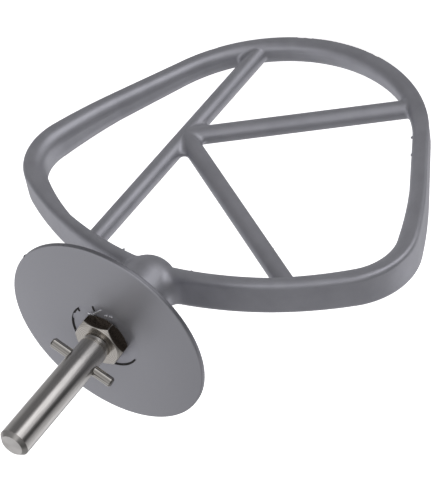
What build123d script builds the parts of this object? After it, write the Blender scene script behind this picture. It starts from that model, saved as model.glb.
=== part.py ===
from build123d import *
import os
from math import cos, radians, sin, sqrt

# Stand mixer flat beater, in millimetres
# Z runs along the drive shaft towards the mixer, X across the loop, Y through it
# The origin is on the shaft axis where the ground seat of the shank begins

# Drive shaft
seat_d = 9.525
seat_length = 32.4
body_d = 9.15
body_length = 8.5
thread_d = 8.0
thread_length = 24.0
shaft_chamfer = 1.2
shoulder_round = 0.7
thread_chamfer = 0.6

# Cross pin
pin_d = 3.2
pin_length = 21.7
pin_drop = 2.3
pin_turn = -26.0
pin_chamfer = 0.5

# Lock nut
nut_flats = 15.0
nut_height = 4.6
nut_turn = -3.9
nut_chamfer = 0.55
nut_lead_in = 0.5

# Splash plate
plate_d = 67.0
plate_thickness = 1.6
plate_rise = 1.0
plate_rim_drop = 15.3
plate_rim_round = 0.4

# Hub of the casting
boss_d = 23.5
boss_recess = 0.4
flange_d = 29.0
flange_thickness = 2.5
neck_length = 7.0
hub_d = 18.6
hub_tip_drop = 31.9
thread_depth = 22.0

# Outer face of the loop, one half as tangent arcs from the shaft axis outward, then a straight flank and the foot
loop_drop = 22.1
crown_r = 20.3
crown_sweep = 6.2
arm_r = 123.6
arm_sweep = 29.0
arm_waist = 0.6
shoulder_r = 22.9
shoulder_sweep = 73.6
side_r = 177.0
side_sweep = 7.6
flank_length = 26.6

# Section of the loop at the crown, halfway along the arm, halfway round the shoulder, at the flank and at the foot
crown_width = 5.6
crown_depth = 12.9
crown_round = 2.6
arm_width = 4.3
arm_depth = 12.6
arm_round = 2.0
shoulder_width = 7.0
shoulder_depth = 11.7
shoulder_outer_round = 1.6
shoulder_inner_round = 4.2
flank_width = 5.75
flank_depth = 9.85
flank_outer_round = 1.1
flank_inner_round = 3.8
foot_width = 5.55
foot_depth = 8.2
foot_outer_round = 1.0
foot_inner_round = 3.3

# Bars of the K
bar_d = 6.15
bar_x = -26.8
node_drop = 86.6
upper_bar_angle = 35.6
lower_bar_angle = -33.1
node_fillet = 2.0
bar_fillet = 1.5
hub_fillet = 4.5

# Levels along the shaft, from the origin
rim_z = -plate_rim_drop
plate_z = rim_z + plate_rise
boss_z = plate_z - boss_recess
flange_z = plate_z - plate_thickness
shoulder_z = -body_length
hub_tip_z = rim_z - hub_tip_drop
loop_top_z = rim_z - loop_drop
node_z = rim_z - node_drop

# Lengths that are sure to pass right through what they cut
past_loop = 2 * (arm_r + flank_length)
past_shaft = 2 * seat_d


def pin_place():
    return Pos(0, 0, -pin_drop) * Rot(0, 0, pin_turn) * Rot(0, 90, 0)


def drive_shaft():
    seat = Cylinder(seat_d / 2, seat_length + shaft_chamfer, align=(Align.CENTER, Align.CENTER, Align.MIN))
    seat = chamfer(seat.edges().sort_by(Axis.Z)[-1], shaft_chamfer)
    body = Cylinder(body_d / 2, body_length, align=(Align.CENTER, Align.CENTER, Align.MAX))
    body = fillet(body.edges().sort_by(Axis.Z)[0], shoulder_round)
    thread = Pos(0, 0, shoulder_z) * Cylinder(
        thread_d / 2, thread_length, align=(Align.CENTER, Align.CENTER, Align.MAX))
    thread = chamfer(thread.edges().sort_by(Axis.Z)[0], thread_chamfer)
    cross_hole = pin_place() * Cylinder(pin_d / 2, past_shaft)
    return seat + body + thread - cross_hole


def drive_pin():
    rod = Cylinder(pin_d / 2, pin_length)
    return pin_place() * chamfer(rod.edges().filter_by(GeomType.CIRCLE), pin_chamfer)


def lock_nut():
    corner_r = nut_flats / sqrt(3)
    hexagon = extrude(RegularPolygon(nut_flats / 2, 6, major_radius=False), nut_height)
    turned = Cylinder(corner_r, nut_height, align=(Align.CENTER, Align.CENTER, Align.MIN))
    turned = chamfer(turned.edges().filter_by(GeomType.CIRCLE), nut_chamfer, nut_chamfer * 2)
    bore = Cylinder(thread_d / 2, 2 * nut_height)
    lead_in = Pos(0, 0, nut_height) * Cone(
        thread_d / 2, thread_d / 2 + nut_lead_in, nut_lead_in, align=(Align.CENTER, Align.CENTER, Align.MAX))
    return Pos(0, 0, boss_z) * Rot(0, 0, nut_turn) * ((hexagon & turned) - bore - lead_in)


def splash_plate():
    inner, seat, outer = boss_d / 2, flange_d / 2, plate_d / 2
    seat_top = Line((inner, plate_z), (seat, plate_z))
    dish_top = TangentArc((seat, plate_z), (outer, rim_z), tangent=(1, 0))
    rim = Line((outer, rim_z), (outer, rim_z - plate_thickness))
    bore = Line((inner, plate_z), (inner, flange_z))
    below = [Pos(0, -plate_thickness) * edge for edge in (seat_top, dish_top)]
    plate = revolve(Plane.XZ * make_face([seat_top, dish_top, rim, bore] + below), Axis.Z)
    rim_wall = plate.faces().filter_by(GeomType.CYLINDER).sort_by(SortBy.AREA)[-1]
    return fillet(rim_wall.edges().filter_by(GeomType.CIRCLE), plate_rim_round)


def loop_arcs():
    arcs = []
    x, z, turn = 0.0, loop_top_z, 0.0
    bends = (
        (crown_r, crown_sweep),
        (arm_r, arm_sweep * arm_waist),
        (arm_r, arm_sweep * (1 - arm_waist)),
        (shoulder_r, shoulder_sweep),
        (side_r, side_sweep))
    for radius, sweep_angle in bends:
        centre_x = x - radius * sin(radians(turn))
        centre_z = z - radius * cos(radians(turn))
        arcs.append((centre_x, centre_z, radius, turn, turn + sweep_angle))
        turn += sweep_angle
        x = centre_x + radius * sin(radians(turn))
        z = centre_z + radius * cos(radians(turn))
    x += flank_length * cos(radians(turn))
    z -= flank_length * sin(radians(turn))
    foot_radius = x / sin(radians(turn))
    arcs.append((0.0, z - foot_radius * cos(radians(turn)), foot_radius, turn, 180.0))
    return arcs


def half_outline(inset):
    spans = []
    for centre_x, centre_z, radius, start, stop in loop_arcs():
        reach = radius - inset
        spans.append([(centre_x + reach * sin(radians(turn)), centre_z + reach * cos(radians(turn)))
                      for turn in (start, (start + stop) / 2, stop)])
    spans.insert(-1, [spans[-2][-1], spans[-1][0]])
    return [ThreePointArc(*points) if len(points) == 3 else Line(*points) for points in spans]


def loop_section(edge, share, width, depth, outer_round, inner_round):
    section = Rectangle(width, depth, align=(Align.MAX, Align.CENTER))
    section = fillet(section.vertices().sort_by(Axis.X)[-2:], outer_round)
    section = fillet(section.vertices().sort_by(Axis.X)[:2], inner_round)
    along = edge % share
    place = Plane(origin=edge @ share, x_dir=along.cross(Vector(0, 1, 0)), z_dir=along)
    return place * section


def outer_loop():
    crown = (crown_width, crown_depth, crown_round, crown_round)
    waist = (arm_width, arm_depth, arm_round, arm_round)
    shoulder = (shoulder_width, shoulder_depth, shoulder_outer_round, shoulder_inner_round)
    flank = (flank_width, flank_depth, flank_outer_round, flank_inner_round)
    foot = (foot_width, foot_depth, foot_outer_round, foot_inner_round)
    stations = (crown, crown, waist, shoulder, shoulder, flank, foot, foot)
    lengths = []
    for edge, start, stop in zip(half_outline(0), stations, stations[1:]):
        spine = Plane.XZ * edge
        ends = [loop_section(spine, 0, *start), loop_section(spine, 1, *stop)]
        lengths.append(sweep(ends, path=spine, multisection=True))
    half = lengths[0] + lengths[1:]
    return half + mirror(half, Plane.YZ)


def loop_middle():
    right = half_outline(crown_width / 2)
    left = [mirror(edge, Plane.YZ) for edge in right]
    return extrude(Plane.XZ * make_face(right + left), crown_depth, both=True)


def bars():
    node = Pos(bar_x, 0, node_z)
    upright = node * Cylinder(bar_d / 2, past_loop)
    diagonals = []
    for angle in (upper_bar_angle, lower_bar_angle):
        diagonals.append(node * Rot(0, 90 - angle, 0) * Cylinder(
            bar_d / 2, past_loop, align=(Align.CENTER, Align.CENTER, Align.MIN)))
    joined = upright + diagonals
    joined = fillet(new_edges(upright, *diagonals, combined=joined), node_fillet)
    return joined & loop_middle()


def hub():
    neck_z = flange_z - flange_thickness
    tip_centre_z = hub_tip_z + hub_d / 2
    wall = Polyline(
        (0, boss_z),
        (boss_d / 2, boss_z),
        (boss_d / 2, flange_z),
        (flange_d / 2, flange_z),
        (flange_d / 2, neck_z))
    flare = TangentArc((hub_d / 2, neck_z - neck_length), (flange_d / 2, neck_z), tangent=(0, 1))
    side = Line((hub_d / 2, neck_z - neck_length), (hub_d / 2, tip_centre_z))
    tip = TangentArc((hub_d / 2, tip_centre_z), (0, hub_tip_z), tangent=(0, -1))
    axis = Line((0, hub_tip_z), (0, boss_z))
    body = revolve(Plane.XZ * make_face([wall, flare, side, tip, axis]), Axis.Z)
    hole = Pos(0, 0, boss_z) * Cylinder(
        thread_d / 2, thread_depth, align=(Align.CENTER, Align.CENTER, Align.MAX))
    return body, hole


def blended(first, second, blend_r):
    joined = first + second
    return fillet(new_edges(first, second, combined=joined), blend_r)


def beater_frame():
    body, hole = hub()
    web = blended(outer_loop(), bars(), bar_fillet)
    return blended(web, body, hub_fillet) - hole


os.makedirs("parts", exist_ok=True)
export_step(beater_frame(), "parts/beater_frame.step")
export_step(splash_plate(), "parts/splash_plate.step")
export_step(lock_nut(), "parts/lock_nut.step")
export_step(drive_shaft(), "parts/drive_shaft.step")
export_step(drive_pin(), "parts/drive_pin.step")
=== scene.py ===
from math import cos, pi, radians, sqrt

import bmesh
import bpy
from mathutils import Matrix, Vector


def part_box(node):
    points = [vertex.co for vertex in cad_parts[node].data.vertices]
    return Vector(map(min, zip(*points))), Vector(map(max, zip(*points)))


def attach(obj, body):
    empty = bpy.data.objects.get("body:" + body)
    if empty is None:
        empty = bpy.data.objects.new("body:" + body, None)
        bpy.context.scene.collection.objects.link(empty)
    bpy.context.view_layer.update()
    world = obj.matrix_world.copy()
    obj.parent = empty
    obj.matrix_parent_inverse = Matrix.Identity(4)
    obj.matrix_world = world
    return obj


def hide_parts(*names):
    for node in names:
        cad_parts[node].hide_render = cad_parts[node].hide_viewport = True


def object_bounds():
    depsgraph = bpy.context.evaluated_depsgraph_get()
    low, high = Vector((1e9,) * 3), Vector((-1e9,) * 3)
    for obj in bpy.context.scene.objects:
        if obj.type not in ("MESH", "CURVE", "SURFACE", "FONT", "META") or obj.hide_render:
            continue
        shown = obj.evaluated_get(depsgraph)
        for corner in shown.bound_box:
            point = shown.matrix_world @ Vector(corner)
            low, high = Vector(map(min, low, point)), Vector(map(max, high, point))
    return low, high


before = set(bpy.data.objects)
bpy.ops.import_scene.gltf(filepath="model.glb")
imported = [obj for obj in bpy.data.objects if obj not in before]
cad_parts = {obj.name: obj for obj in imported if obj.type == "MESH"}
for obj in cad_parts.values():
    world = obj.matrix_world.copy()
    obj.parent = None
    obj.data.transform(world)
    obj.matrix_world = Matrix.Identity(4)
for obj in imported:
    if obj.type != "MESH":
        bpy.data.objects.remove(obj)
cad_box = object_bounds()

MM = 0.001
ORIGIN = (0, 0, 0)
SHAFT_AXIS = (0, 0, 1)

# Lock nut and boss, in millimetres and degrees, with their levels taken from the frame
NUT_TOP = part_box("lock_nut")[1][2] / MM
BOSS_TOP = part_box("lock_nut")[0][2] / MM
BOSS_RADIUS = 11.75
NUT_FLATS = 15.0
NUT_TURN = 26.1
NUT_FACE_RADIUS = 7.3
NUT_CHAMFER = 1.0
NUT_LEAD_IN = 0.5
# Width of the bevels along the flats' edges, which carry a painted highlight
NUT_HIGHLIGHT_BEVEL = 0.12

# Thread on the lower end of the shaft, in millimetres
THREAD_RADIUS = 4.0
THREAD_PITCH = 1.25
THREAD_HEIGHT = 0.38
THREAD_TURNS_SEEN = 1.15

# Photograph: its height in pixels and the view it was taken from
IMAGE_HEIGHT = 495
FOCAL_PIXELS = 2165
CAMERA_AIM = Vector((20.9, 13.9, -48.6)) * MM
CAMERA_DISTANCE = 643.3 * MM
CAMERA_AZIMUTH = 54.7
CAMERA_ELEVATION = 35.3
CAMERA_ROLL = -140.3

# Studio room, as bright as this between its panels
ROOM_BRIGHTNESS = 0.17

# Soft panels of the room that the metal mirrors: azimuth, elevation, squash, inner and outer half angle in
# degrees, brightness. A squash below 1 makes a panel taller. The one with a brightness below 0 is a black
# flag, which draws the dark line along the shaft
ROOM_PANELS = (
    (66, -6, 0.75, 8, 30, 0.9),
    (55, -34, 0.65, 24, 28, 0.62),
    (5, -35, 0.5, 8, 15, -0.16),
    (80, 58, 1.0, 6, 22, 0.55),
    (60, 36, 1.0, 4, 24, 0.6),
    (-54, -40, 1.0, 24, 40, 0.6),
    (-72, 4, 1.0, 15, 50, 0.3),
    (-135, -4, 0.9, 12, 42, 0.55),
    (-155, 45, 1.0, 15, 48, 0.4),
    (150, 80, 1.0, 10, 48, 0.45),
    (180, -30, 1.0, 10, 40, 0.25),
)

# Blender's wave texture repeats each time its scaled coordinate grows by this much
WAVE_PERIOD = 2 * pi / 20


# Helpers

def linear(hex_colour):
    """An sRGB hex colour as linear red, green, blue and alpha."""
    channels = [int(hex_colour[i:i + 2], 16) / 255 for i in (1, 3, 5)]
    return [c / 12.92 if c <= 0.04045 else ((c + 0.055) / 1.055) ** 2.4 for c in channels] + [1.0]


def add_node(tree, kind, values=(), links=(), **settings):
    """One shader node: values fill its inputs, links join them to other nodes, settings are properties."""
    node = tree.nodes.new(kind)
    for name, value in settings.items():
        setattr(node, name, value)
    for name, value in dict(values).items():
        node.inputs[name].default_value = value
    for name, socket in dict(links).items():
        tree.links.new(socket, node.inputs[name])
    return node


def new_material(name):
    """An empty material and its node tree."""
    material = bpy.data.materials.new(name)
    material.use_nodes = True
    material.node_tree.nodes.clear()
    return material, material.node_tree


def aim(obj, place, target, roll=0.0):
    """Puts a camera or light at a place, looking at a target."""
    turn = (target - place).to_track_quat("-Z", "Y").to_matrix().to_4x4()
    obj.matrix_world = Matrix.Translation(place) @ turn @ Matrix.Rotation(radians(roll), 4, "Z")


def compass(azimuth, elevation):
    """The unit vector that points to an azimuth and elevation in degrees."""
    turn = Matrix.Rotation(radians(azimuth), 3, "Z") @ Matrix.Rotation(radians(-elevation), 3, "Y")
    return turn @ Vector((1, 0, 0))


# Materials

def blasted_surface(tree, place, tone, roughness, pit_strength):
    """Bead-blasted aluminium of a given tone: fine pits break its gloss up into a soft grain."""
    # Grit of about 0.2 mm, drawn at 0.6 mm so that it shows
    grain = add_node(tree, "ShaderNodeTexNoise", {"Scale": 1 / (0.6 * MM), "Detail": 3.0},
                     {"Vector": place.outputs["Object"]})
    sheen = add_node(tree, "ShaderNodeMapRange",
                     {"To Min": roughness - 0.06, "To Max": roughness + 0.06},
                     {"Value": grain.outputs["Fac"]})
    bump = add_node(tree, "ShaderNodeBump", {"Strength": pit_strength, "Distance": 0.05 * MM},
                    {"Height": grain.outputs["Fac"]})
    shader = add_node(tree, "ShaderNodeBsdfPrincipled", {"Metallic": 0.8},
                      {"Base Color": tone.outputs["Result"], "Roughness": sheen.outputs["Result"],
                       "Normal": bump.outputs["Normal"]})
    add_node(tree, "ShaderNodeOutputMaterial", {}, {"Surface": shader.outputs["BSDF"]})


def blasted_cast_aluminium(name, colour, cloud_colour, roughness):
    """Cast aluminium after bead blasting: a soft grey, faintly clouded, with a fine grain."""
    material, tree = new_material(name)
    place = add_node(tree, "ShaderNodeTexCoord")
    # Clouds of about 7 mm
    cloud = add_node(tree, "ShaderNodeTexNoise", {"Scale": 1 / (7 * MM), "Detail": 2.0},
                     {"Vector": place.outputs["Object"]})
    tone = add_node(tree, "ShaderNodeMix", {"A": linear(colour), "B": linear(cloud_colour)},
                    {"Factor": cloud.outputs["Fac"]}, data_type="RGBA")
    blasted_surface(tree, place, tone, roughness, pit_strength=0.4)
    return material


def blasted_aluminium_sheet(name, colour, rim_shade_colour, roughness):
    """Pressed aluminium plate after bead blasting: a smooth soft grey, with painted shade on its sheared
    rim.
    """
    material, tree = new_material(name)
    place = add_node(tree, "ShaderNodeTexCoord")
    # The normal's Z is 0 on the rim and close to 1 or -1 on the two faces
    normal = add_node(tree, "ShaderNodeSeparateXYZ", {}, {"Vector": place.outputs["Normal"]})
    level = add_node(tree, "ShaderNodeMath", {}, {0: normal.outputs["Z"]}, operation="ABSOLUTE")
    face = add_node(tree, "ShaderNodeMapRange", {"From Min": 0.2, "From Max": 0.6},
                    {"Value": level.outputs[0]})
    # Painted shade: the rim gets a darker colour than the two faces
    tone = add_node(tree, "ShaderNodeMix", {"A": linear(rim_shade_colour), "B": linear(colour)},
                    {"Factor": face.outputs["Result"]}, data_type="RGBA")
    blasted_surface(tree, place, tone, roughness, pit_strength=0.5)
    return material


def polished_stainless_steel(name, colour, streak_colour, slope_shade_colour, top_light_colour, roughness, stretch):
    """Drawn and polished stainless bar: fine streaks along it, rings that stretch its highlights, painted
    shade and highlight.
    """
    material, tree = new_material(name)
    place = add_node(tree, "ShaderNodeTexCoord")
    # Die marks of about 0.1 mm, drawn at 0.4 mm so that they show, and 6 mm long
    streak_scale = (1 / (0.4 * MM), 1 / (0.4 * MM), 1 / (6 * MM))
    lengthwise = add_node(tree, "ShaderNodeMapping", {"Scale": streak_scale},
                          {"Vector": place.outputs["Object"]})
    streaks = add_node(tree, "ShaderNodeTexNoise", {"Scale": 1.0, "Detail": 3.0},
                       {"Vector": lengthwise.outputs["Vector"]})
    tone = add_node(tree, "ShaderNodeMix", {"A": linear(colour), "B": linear(streak_colour)},
                    {"Factor": streaks.outputs["Fac"]}, data_type="RGBA")
    # Polishing rings of about 0.05 mm, drawn at 0.35 mm and kept faint
    rings = add_node(tree, "ShaderNodeTexWave", {"Scale": WAVE_PERIOD / (0.35 * MM), "Distortion": 1.0},
                     {"Vector": place.outputs["Object"]}, bands_direction="Z")
    ring_bump = add_node(tree, "ShaderNodeBump", {"Strength": 0.05, "Distance": 0.01 * MM},
                         {"Height": rings.outputs["Fac"]})
    bump = add_node(tree, "ShaderNodeBump", {"Strength": 0.08, "Distance": 0.02 * MM},
                    {"Height": streaks.outputs["Fac"], "Normal": ring_bump.outputs["Normal"]})
    # On an upright bar the normal's Z is 0 on the wall, 0.7 on the chamfer and 1 on the end
    normal = add_node(tree, "ShaderNodeSeparateXYZ", {}, {"Vector": place.outputs["Normal"]})
    chamfer = add_node(tree, "ShaderNodeMapRange", {"From Min": 0.25, "From Max": 0.6},
                       {"Value": normal.outputs["Z"]})
    # Painted shade: the chamfer, or the sloped upper side of a bar lying across, gets a darker colour
    slope_shaded = add_node(tree, "ShaderNodeMix", {"B": linear(slope_shade_colour)},
                     {"A": tone.outputs["Result"], "Factor": chamfer.outputs["Result"]}, data_type="RGBA")
    # Painted highlight: the end, or the top of a bar lying across, gets a lighter colour
    end = add_node(tree, "ShaderNodeMapRange", {"From Min": 0.8, "From Max": 0.97},
                   {"Value": normal.outputs["Z"]})
    lit_and_shaded_tone = add_node(tree, "ShaderNodeMix", {"B": linear(top_light_colour)},
                      {"A": slope_shaded.outputs["Result"], "Factor": end.outputs["Result"]}, data_type="RGBA")
    # A quarter turn from the rings, so that highlights stretch along the bar
    around = add_node(tree, "ShaderNodeTangent", direction_type="RADIAL", axis="Z")
    shader = add_node(tree, "ShaderNodeBsdfPrincipled",
                      {"Metallic": 1.0, "Roughness": roughness,
                       "Anisotropic": stretch, "Anisotropic Rotation": 0.25},
                      {"Base Color": lit_and_shaded_tone.outputs["Result"], "Normal": bump.outputs["Normal"],
                       "Tangent": around.outputs["Tangent"]})
    add_node(tree, "ShaderNodeOutputMaterial", {}, {"Surface": shader.outputs["BSDF"]})
    return material


def turned_stainless_steel(name, colour, groove_colour, roughness):
    """Stainless face straight from the lathe: light, with fine rings round the axis."""
    material, tree = new_material(name)
    place = add_node(tree, "ShaderNodeTexCoord")
    # Tool marks of about 0.1 mm, drawn at 0.5 mm so that they show
    rings = add_node(tree, "ShaderNodeTexWave",
                     {"Scale": WAVE_PERIOD / (0.5 * MM), "Distortion": 2.0, "Detail": 2.0},
                     {"Vector": place.outputs["Object"]}, wave_type="RINGS", rings_direction="Z")
    tone = add_node(tree, "ShaderNodeMix", {"A": linear(colour), "B": linear(groove_colour)},
                    {"Factor": rings.outputs["Fac"]}, data_type="RGBA")
    bump = add_node(tree, "ShaderNodeBump", {"Strength": 0.15, "Distance": 0.02 * MM},
                    {"Height": rings.outputs["Fac"]})
    shader = add_node(tree, "ShaderNodeBsdfPrincipled", {"Metallic": 1.0, "Roughness": roughness},
                      {"Base Color": tone.outputs["Result"], "Normal": bump.outputs["Normal"]})
    add_node(tree, "ShaderNodeOutputMaterial", {}, {"Surface": shader.outputs["BSDF"]})
    return material


def rolled_bar_skin_and_shade(name, colour, scale_colour):
    """Skin that hexagon bar keeps from rolling: brownish and mottled, its darkness partly painted shade."""
    material, tree = new_material(name)
    place = add_node(tree, "ShaderNodeTexCoord")
    # Patches of mill scale of about 0.8 mm
    mottle = add_node(tree, "ShaderNodeTexNoise", {"Scale": 1 / (0.8 * MM), "Detail": 4.0},
                      {"Vector": place.outputs["Object"]})
    tone = add_node(tree, "ShaderNodeMix", {"A": linear(colour), "B": linear(scale_colour)},
                    {"Factor": mottle.outputs["Fac"]}, data_type="RGBA")
    sheen = add_node(tree, "ShaderNodeMapRange", {"To Min": 0.14, "To Max": 0.4},
                     {"Value": mottle.outputs["Fac"]})
    bump = add_node(tree, "ShaderNodeBump", {"Strength": 0.25, "Distance": 0.05 * MM},
                    {"Height": mottle.outputs["Fac"]})
    shader = add_node(tree, "ShaderNodeBsdfPrincipled", {"Metallic": 1.0},
                      {"Base Color": tone.outputs["Result"], "Roughness": sheen.outputs["Result"],
                       "Normal": bump.outputs["Normal"]})
    add_node(tree, "ShaderNodeOutputMaterial", {}, {"Surface": shader.outputs["BSDF"]})
    return material


def painted_crevice_shade(name, colour, light_speckle_colour):
    """Black painted shade for the corner round the boss and the dents beside the nut: matt, dark and
    uneven.
    """
    material, tree = new_material(name)
    place = add_node(tree, "ShaderNodeTexCoord")
    # Speckles of about 0.5 mm in the painted shade
    speckle = add_node(tree, "ShaderNodeTexNoise", {"Scale": 1 / (0.5 * MM), "Detail": 3.0},
                      {"Vector": place.outputs["Object"]})
    tone = add_node(tree, "ShaderNodeMix", {"A": linear(colour), "B": linear(light_speckle_colour)},
                    {"Factor": speckle.outputs["Fac"]}, data_type="RGBA")
    bump = add_node(tree, "ShaderNodeBump", {"Strength": 0.4, "Distance": 0.1 * MM},
                    {"Height": speckle.outputs["Fac"]})
    shader = add_node(tree, "ShaderNodeBsdfPrincipled", {"Roughness": 0.75},
                      {"Base Color": tone.outputs["Result"], "Normal": bump.outputs["Normal"]})
    add_node(tree, "ShaderNodeOutputMaterial", {}, {"Surface": shader.outputs["BSDF"]})
    return material


def matt_backdrop_paper(name, colour):
    """Seamless studio paper, lit from behind: white and matt."""
    material, tree = new_material(name)
    shader = add_node(tree, "ShaderNodeBsdfPrincipled",
                      {"Base Color": linear(colour), "Roughness": 0.9,
                       "Emission Color": linear(colour), "Emission Strength": 0.8})
    add_node(tree, "ShaderNodeOutputMaterial", {}, {"Surface": shader.outputs["BSDF"]})
    return material


casting = blasted_cast_aluminium("blasted_cast_aluminium", "#9b9ba1", "#b0b0b6", 0.45)
# Its second colour is painted shade on the rim
pressing = blasted_aluminium_sheet("blasted_aluminium_sheet", "#a0a0a5", "#7a7a7f", 0.36)
# Its last two colours are painted shade on the chamfer and a painted highlight on the end
shaft_steel = polished_stainless_steel(
    "lathe_polished_stainless_steel", "#bab7b3", "#e6e3df", "#aba8a4", "#d2cfcb", 0.28, 0.95)
# The pin lies across the shaft, so its last two colours fall along its upper side, as painted shade and a
# painted highlight on top
pin_steel = polished_stainless_steel(
    "ground_stainless_steel", "#8b8883", "#aba8a3", "#8b8883", "#aba8a3", 0.08, 0.0)
nut_face_steel = turned_stainless_steel("turned_stainless_steel", "#cec9c2", "#b5b0a8", 0.2)
# The flats: a brownish skin, darkened further by painted shade
nut_flat_steel = rolled_bar_skin_and_shade("rolled_bar_skin_and_shade", "#776c60", "#544b42")
# The casting where a tool scraped it: brighter and glossier, with the same grain
scraped_casting = blasted_cast_aluminium("scraped_aluminium", "#d9d9de", "#f0f0f4", 0.22)
# Painted shade: a dark matt material laid in the corner round the boss and in the dents
crevice_shade = painted_crevice_shade("painted_crevice_shade", "#151413", "#2b2927")

node_materials = {
    "beater_frame": casting,
    "splash_plate": pressing,
    "drive_shaft": shaft_steel,
    "drive_pin": pin_steel,
}
for node_name, node_material in node_materials.items():
    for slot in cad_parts[node_name].material_slots:
        slot.material = node_material


# Small pieces on the part, modelled in millimetres

def finished_piece(name, mesh, slot, *materials):
    """Makes a piece that rides with the part from a mesh in millimetres."""
    bmesh.ops.scale(mesh, vec=(MM, MM, MM), verts=mesh.verts)
    bmesh.ops.recalc_face_normals(mesh, faces=mesh.faces)
    data = bpy.data.meshes.new(name)
    mesh.to_mesh(data)
    mesh.free()
    piece = bpy.data.objects.new(name, data)
    bpy.context.collection.objects.link(piece)
    for material in materials:
        data.materials.append(material)
    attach(piece, "root")
    return piece


def bead_round_axis(name, profile, start, sweep, rise, material, slot):
    """A bead laid round the shaft axis from a start angle, its profile given as radius and height."""
    degrees_per_step = 6
    fewest_steps = 4
    steps = max(fewest_steps, round(sweep / degrees_per_step))
    mesh = bmesh.new()
    section = mesh.faces.new([mesh.verts.new((radius, 0, height)) for radius, height in profile])
    bmesh.ops.rotate(mesh, verts=mesh.verts, cent=ORIGIN, matrix=Matrix.Rotation(radians(start), 3, "Z"))
    bmesh.ops.spin(mesh, geom=[section, *section.edges, *section.verts], axis=SHAFT_AXIS, cent=ORIGIN,
                   angle=radians(sweep), dvec=(0, 0, rise / steps), steps=steps)
    finished_piece(name, mesh, slot, material)


def nut_blank():
    """The nut as it leaves the lathe: round, bored, and chamfered on both faces."""
    # A little wider than the hexagon's corners, so that every corner is milled
    milling_allowance = 0.05
    blank_radius = NUT_FLATS / sqrt(3) + milling_allowance
    profile = (
        (THREAD_RADIUS, BOSS_TOP),
        (NUT_FACE_RADIUS, BOSS_TOP),
        (blank_radius, BOSS_TOP + NUT_CHAMFER),
        (blank_radius, NUT_TOP - NUT_CHAMFER),
        (NUT_FACE_RADIUS, NUT_TOP),
        (THREAD_RADIUS + NUT_LEAD_IN, NUT_TOP),
        (THREAD_RADIUS, NUT_TOP - NUT_LEAD_IN),
    )
    mesh = bmesh.new()
    points = [mesh.verts.new((radius, 0, height)) for radius, height in profile]
    outline = [mesh.edges.new(pair) for pair in zip(points, points[1:] + points[:1])]
    bmesh.ops.spin(mesh, geom=points + outline, axis=SHAFT_AXIS, cent=ORIGIN, angle=radians(360), steps=72,
                   use_merge=True)
    bmesh.ops.recalc_face_normals(mesh, faces=mesh.faces)
    return mesh


def hexagon_nut():
    """Lock nut: the blank milled to a hexagon, with light faces, dark flats partly of painted shade, and a
    painted highlight on the bevelled edges of the flats.
    """
    mesh = nut_blank()
    for side in range(6):
        outward = compass(NUT_TURN + 60 * side, 0)
        cut = bmesh.ops.bisect_plane(mesh, geom=[*mesh.verts, *mesh.edges, *mesh.faces], dist=1e-4,
                                     clear_outer=True, plane_co=outward * NUT_FLATS / 2, plane_no=outward)
        rim = [element for element in cut["geom_cut"] if isinstance(element, bmesh.types.BMEdge)]
        bmesh.ops.contextual_create(mesh, geom=rim)
    mesh.normal_update()
    # The flats are the upright faces with curved ends, and the faces of the bore have four edges each
    flats = [face for face in mesh.faces if abs(face.normal.z) < 0.1 and len(face.edges) > 4]
    flat_edges = list(dict.fromkeys(edge for face in flats for edge in face.edges))
    highlight_bevel = bmesh.ops.bevel(mesh, geom=flat_edges, offset=NUT_HIGHLIGHT_BEVEL, affect="EDGES", segments=2,
                           profile=0.5, material=-1)
    # Upright flats get the dark skin, its darkness partly painted shade
    for face in mesh.faces:
        upright = abs(face.normal.z) < 0.5
        in_bore = face.calc_center_median().xy.length < THREAD_RADIUS + 2 * NUT_LEAD_IN
        face.material_index = int(upright and not in_bore)
    # Painted highlight: the bevels along the flats get the light face steel
    for face in highlight_bevel["faces"]:
        face.material_index = 0
    nut = finished_piece("hexagon_nut", mesh, "nut_steel", nut_face_steel, nut_flat_steel)
    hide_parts("lock_nut")


def shank_thread():
    """The turns of thread that show between the nut and the shaft's shoulder."""
    start_angle = 30
    sunk = 0.1
    above_nut = 0.15
    root = THREAD_RADIUS - sunk
    crest = THREAD_RADIUS + THREAD_HEIGHT
    first_crest = NUT_TOP + above_nut
    # Less than half a pitch, so that the turns don't touch
    half_base = 0.45 * THREAD_PITCH
    profile = ((root, first_crest - half_base), (crest, first_crest), (root, first_crest + half_base))
    bead_round_axis("shank_thread", profile, start_angle, 360 * THREAD_TURNS_SEEN,
                    THREAD_PITCH * THREAD_TURNS_SEEN, shaft_steel, "shaft_steel")


def seat_gap_shade():
    """Dark beads of painted shade in the corner between the boss and the plate's hole, from start angles
    over sweeps.
    """
    sunk = 0.05
    width = 0.7
    height = 0.38
    profile = (
        (BOSS_RADIUS + sunk, BOSS_TOP - sunk),
        (BOSS_RADIUS - width, BOSS_TOP - sunk),
        (BOSS_RADIUS + sunk, BOSS_TOP + height),
    )
    # Painted shade: dark beads along the corner where it lies in shade
    arcs = ((135, 17), (166, 24), (277, 47))
    for number, (start, sweep) in enumerate(arcs, 1):
        bead_round_axis(f"seat_gap_shade_{number}", profile, start, sweep, 0, crevice_shade, "frame_casting")


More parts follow.
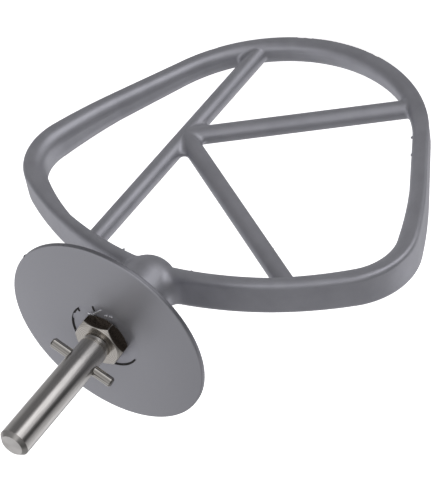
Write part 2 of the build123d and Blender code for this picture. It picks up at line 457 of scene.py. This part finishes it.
def staking_marks():
    """Scraped ridges, and dark strokes of painted shade at the dents, on the boss beside the nut, from one
    radius and angle to another.
    """
    width = 0.6
    height = 0.5
    rounding = 0.3
    ridges = (
        ((8.8, 122), (7.9, 113)),
        ((7.9, 113), (10.6, 86)),
        ((8.7, 79), (9.4, 74)),
        ((9.6, 70), (10.1, 64)),
    )
    # Painted shade: dark strokes laid where the dents sit in shade
    dents = (
        ((11.1, 102), (9.3, 102)),
        ((11.8, 135), (10.5, 139)),
    )
    marks = [("ridge", scraped_casting, ends) for ends in ridges]
    marks += [("dent_shade", crevice_shade, ends) for ends in dents]
    for number, (kind, material, ends) in enumerate(marks, 1):
        near, far = [compass(angle, 0) * radius for radius, angle in ends]
        along = far - near
        mesh = bmesh.new()
        bmesh.ops.create_cube(mesh, size=1)
        bmesh.ops.bevel(mesh, geom=mesh.edges[:], offset=rounding, affect="EDGES", segments=3, profile=0.5,
                        material=-1)
        bmesh.ops.scale(mesh, vec=(along.length + width / 2, width, height), verts=mesh.verts)
        bmesh.ops.rotate(mesh, verts=mesh.verts, cent=ORIGIN,
                         matrix=along.to_track_quat("X", "Z").to_matrix())
        bmesh.ops.translate(mesh, verts=mesh.verts, vec=(near + far) / 2 + Vector((0, 0, BOSS_TOP)))
        finished_piece(f"staking_{kind}_{number}", mesh, "frame_casting", material)


def flash_nibs():
    """Nibs of flash on the edges of the casting, and one burr on the plate's rim."""
    nib_radius = 0.45
    nib_stretch = (1.0, 0.6, 1.5)
    casting_places = (
        (42.8, 1.2, -128.3),
        (47.6, 2.6, -119.4),
        (13.6, 6.1, -43.0),
        (27.8, 1.0, -65.8),
        (-11.8, 5.3, -43.8),
    )
    burr_angle = 139
    burr_radius = 33.4
    burr_level = -15.9
    rim_place = compass(burr_angle, 0) * burr_radius + Vector((0, 0, burr_level))
    nibs = [("flash_nib", place, casting, "frame_casting") for place in casting_places]
    nibs.append(("rim_burr", rim_place, pressing, "plate_sheet"))
    for number, (name, place, material, slot) in enumerate(nibs, 1):
        mesh = bmesh.new()
        bmesh.ops.create_icosphere(mesh, subdivisions=3, radius=nib_radius)
        bmesh.ops.scale(mesh, vec=nib_stretch, verts=mesh.verts)
        bmesh.ops.translate(mesh, verts=mesh.verts, vec=place)
        finished_piece(f"{name}_{number}", mesh, slot, material)


hexagon_nut()
shank_thread()
seat_gap_shade()
staking_marks()
flash_nibs()


# Stage

def studio_floor():
    """White paper just below the part, which the metal doesn't mirror."""
    half_size = 3.0
    gap = 1 * MM
    mesh = bmesh.new()
    bmesh.ops.create_grid(mesh, x_segments=1, y_segments=1, size=half_size)
    bmesh.ops.translate(mesh, verts=mesh.verts, vec=(0, 0, cad_box[0][2] - gap))
    data = bpy.data.meshes.new("studio_floor")
    mesh.to_mesh(data)
    mesh.free()
    floor = bpy.data.objects.new("studio_floor", data)
    bpy.context.collection.objects.link(floor)
    data.materials.append(matt_backdrop_paper("matt_backdrop_paper", "#fafafa"))
    floor.visible_glossy = False


def softbox(name, azimuth, elevation, distance, width, height, power):
    """A flat lamp aimed at the part, which the metal doesn't mirror."""
    light = bpy.data.lights.new(name, "AREA")
    light.shape = "RECTANGLE"
    light.size = width
    light.size_y = height
    light.energy = power
    lamp = bpy.data.objects.new(name, light)
    bpy.context.collection.objects.link(lamp)
    lamp.visible_glossy = False
    aim(lamp, CAMERA_AIM + compass(azimuth, elevation) * distance, CAMERA_AIM)


def studio_room():
    """A dim room with soft panels, which gives the metal its highlights."""
    world = bpy.data.worlds.new("studio_room")
    bpy.context.scene.world = world
    world.use_nodes = True
    tree = world.node_tree
    background = tree.nodes["Background"]
    background.inputs["Color"].default_value = linear("#fbfbfe")
    place = add_node(tree, "ShaderNodeTexCoord")
    total = add_node(tree, "ShaderNodeMath", {0: ROOM_BRIGHTNESS, 1: 0.0}, operation="ADD")
    for azimuth, elevation, squash, inner, outer, brightness in ROOM_PANELS:
        squashing = Vector((1, 1, squash))
        towards = (compass(azimuth, elevation) * squashing).normalized()
        squashed = add_node(tree, "ShaderNodeVectorMath", {1: squashing}, {0: place.outputs["Generated"]},
                            operation="MULTIPLY")
        unit = add_node(tree, "ShaderNodeVectorMath", {}, {0: squashed.outputs[0]}, operation="NORMALIZE")
        facing = add_node(tree, "ShaderNodeVectorMath", {1: towards}, {0: unit.outputs[0]},
                          operation="DOT_PRODUCT")
        panel = add_node(tree, "ShaderNodeMapRange",
                         {"From Min": cos(radians(outer)), "From Max": cos(radians(inner)),
                          "To Max": brightness},
                         {"Value": facing.outputs["Value"]}, interpolation_type="SMOOTHSTEP")
        total = add_node(tree, "ShaderNodeMath", {}, {0: total.outputs[0], 1: panel.outputs["Result"]},
                         operation="ADD")
    # The camera sees plain white past the floor's edge
    path = add_node(tree, "ShaderNodeLightPath")
    strength = add_node(tree, "ShaderNodeMix", {"B": 1.0},
                        {"Factor": path.outputs["Is Camera Ray"], "A": total.outputs[0]})
    tree.links.new(strength.outputs["Result"], background.inputs["Strength"])


def photo_camera():
    """The camera where the photograph was taken from, with its framing."""
    data = bpy.data.cameras.new("photo_camera")
    data.sensor_fit = "VERTICAL"
    data.sensor_height = 24.0
    data.lens = FOCAL_PIXELS / IMAGE_HEIGHT * data.sensor_height
    camera = bpy.data.objects.new("photo_camera", data)
    bpy.context.collection.objects.link(camera)
    place = CAMERA_AIM + compass(CAMERA_AZIMUTH, CAMERA_ELEVATION) * CAMERA_DISTANCE
    aim(camera, place, CAMERA_AIM, CAMERA_ROLL)
    bpy.context.scene.camera = camera


studio_floor()
studio_room()
softbox("front_softbox", azimuth=40, elevation=45, distance=1.6, width=1.4, height=1.4, power=13)
bpy.context.scene.view_settings.view_transform = "Standard"
photo_camera()
